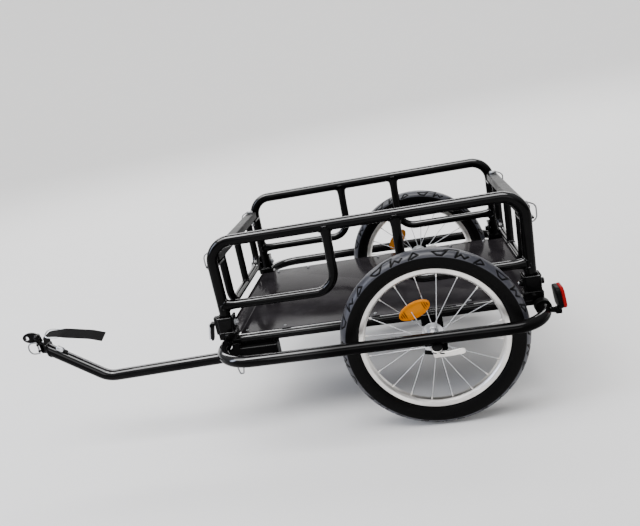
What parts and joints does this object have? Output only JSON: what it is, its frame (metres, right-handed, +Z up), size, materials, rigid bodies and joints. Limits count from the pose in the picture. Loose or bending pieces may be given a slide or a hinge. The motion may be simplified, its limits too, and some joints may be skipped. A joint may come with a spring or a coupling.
{
  "type": "bicycle cargo trailer",
  "caption": "Flat-deck cargo trailer for a bicycle, with tubular side panels, end gates, a bumper loop round the wheels and a bent tow bar with its hitch.",
  "frame": {"origin": "middle of the flat top face of the cargo deck", "axes": "+X the way the trailer travels, +Y its left side, which carries the tow bar, +Z up from the deck"},
  "size_m": [1.2408, 0.7442, 0.4743],
  "materials": {
    "black_paint": "glossy black powder coat",
    "deck_paint": "semi-gloss dark grey coated sheet",
    "steel": "zinc plated, satin",
    "alloy": "satin silver",
    "tyre_rubber": "matt black rubber",
    "amber": "clear amber, prismatic inside",
    "red_lens": "clear red, prismatic inside",
    "black_plastic": "fine moulded grain",
    "webbing": "woven nylon"
  },
  "bodies": {
    "chassis": {"outer_loop": "black_paint", "deck_frame": "black_paint", "deck_panel": "deck_paint", "tow_receiver": "black_paint", "tow_bar": "black_paint", "hitch_clevis": "black_paint", "hitch_latch": "steel", "yaw_pin": "steel", "strap": "webbing", "strap_ring": "steel", "reflector_clamp": "black_plastic", "reflector_case": "black_plastic", "reflector_lens": "red_lens", "side_panel_left": "black_paint", "bracket_front_left": "black_paint", "skewer_front_left": "steel", "lock_pin_front_left": "steel", "bracket_rear_left": "black_paint", "skewer_rear_left": "black_paint", "lock_pin_rear_left": "steel", "dropout_inner_left": "black_paint", "dropout_outer_left": "black_paint", "axle_left": "steel", "side_panel_right": "black_paint", "bracket_front_right": "black_paint", "skewer_front_right": "steel", "lock_pin_front_right": "steel", "bracket_rear_right": "black_paint", "skewer_rear_right": "black_paint", "lock_pin_rear_right": "steel", "dropout_inner_right": "black_paint", "dropout_outer_right": "black_paint", "axle_right": "steel", "gate_front": "black_paint", "gate_rear": "black_paint"},
    "wheel_left": {"tyre_left": "tyre_rubber", "rim_left": "alloy", "laced_hub_left": "alloy", "spoke_reflector_left": "amber"},
    "wheel_lever_body_left": {"wheel_lever_left": "steel"},
    "panel_lever_body_left": {"panel_lever_left": "steel"},
    "pin_loop_body_front_left": {"pin_loop_front_left": "steel"},
    "pin_loop_body_rear_left": {"pin_loop_rear_left": "steel"},
    "wheel_right": {"tyre_right": "tyre_rubber", "rim_right": "alloy", "laced_hub_right": "alloy", "spoke_reflector_right": "amber"},
    "wheel_lever_body_right": {"wheel_lever_right": "steel"},
    "panel_lever_body_right": {"panel_lever_right": "steel"},
    "pin_loop_body_front_right": {"pin_loop_front_right": "steel"},
    "pin_loop_body_rear_right": {"pin_loop_rear_right": "steel"},
    "tow_pin_body": {"tow_pin": "steel"},
    "tow_ring_body": {"tow_ring": "steel"},
    "coupler_body": {"hitch_coupler": "black_plastic"},
    "plate_body": {"hitch_plate": "black_paint"},
    "hitch_ring_body": {"hitch_ring": "steel"}
  },
  "joints": [
    {"name": "wheel_spin_left", "type": "hinge", "parent": "chassis", "child": "wheel_left", "pos_m": [-0.116, 0.2953, -0.0398], "axis": [0, 1, 0], "continuous": true},
    {"name": "wheel_lever_open_left", "type": "hinge", "parent": "chassis", "child": "wheel_lever_body_left", "pos_m": [-0.116, 0.3633, -0.0448], "axis": [0, 0, -1], "range_deg": [0, 150]},
    {"name": "panel_lever_open_left", "type": "hinge", "parent": "chassis", "child": "panel_lever_body_left", "pos_m": [0.3785, 0.2306, 0.0312], "axis": [0, -1, 0], "range_deg": [0, 150]},
    {"name": "pin_loop_swing_front_left", "type": "hinge", "parent": "chassis", "child": "pin_loop_body_front_left", "pos_m": [0.3452, 0.194, 0.1956], "axis": [0, -1, 0], "range_deg": [0, 150]},
    {"name": "pin_loop_swing_rear_left", "type": "hinge", "parent": "chassis", "child": "pin_loop_body_rear_left", "pos_m": [-0.3392, 0.194, 0.1956], "axis": [0, 1, 0], "range_deg": [0, 150]},
    {"name": "wheel_spin_right", "type": "hinge", "parent": "chassis", "child": "wheel_right", "pos_m": [-0.116, -0.2953, -0.0398], "axis": [0, 1, 0], "continuous": true},
    {"name": "wheel_lever_open_right", "type": "hinge", "parent": "chassis", "child": "wheel_lever_body_right", "pos_m": [-0.116, -0.3633, -0.0448], "axis": [0, 0, 1], "range_deg": [0, 150]},
    {"name": "panel_lever_open_right", "type": "hinge", "parent": "chassis", "child": "panel_lever_body_right", "pos_m": [0.3785, -0.2306, 0.0312], "axis": [0, -1, 0], "range_deg": [0, 150]},
    {"name": "pin_loop_swing_front_right", "type": "hinge", "parent": "chassis", "child": "pin_loop_body_front_right", "pos_m": [0.3452, -0.194, 0.1956], "axis": [0, -1, 0], "range_deg": [0, 150]},
    {"name": "pin_loop_swing_rear_right", "type": "hinge", "parent": "chassis", "child": "pin_loop_body_rear_right", "pos_m": [-0.3392, -0.194, 0.1956], "axis": [0, 1, 0], "range_deg": [0, 150]},
    {"name": "tow_pin_pull", "type": "slide", "parent": "chassis", "child": "tow_pin_body", "axis": [0, 1, 0], "range_m": [0, 0.055]},
    {"name": "tow_ring_swing", "type": "hinge", "parent": "tow_pin_body", "child": "tow_ring_body", "pos_m": [0.327, 0.2576, -0.04968], "axis": [1, 0, 0], "range_deg": [0, 90]},
    {"name": "hitch_yaw", "type": "hinge", "parent": "chassis", "child": "coupler_body", "pos_m": [0.7994, 0.235, 0.0352], "axis": [0, 0, 1], "range_deg": [-25, 25]},
    {"name": "hitch_pitch", "type": "hinge", "parent": "coupler_body", "child": "plate_body", "pos_m": [0.813, 0.235, 0.0632], "axis": [0, 1, 0], "range_deg": [-20, 20]},
    {"name": "hitch_ring_swing", "type": "hinge", "parent": "coupler_body", "child": "hitch_ring_body", "pos_m": [0.8122, 0.244, 0.0382], "axis": [0, 0, 1], "range_deg": [0, 90]}
  ]
}
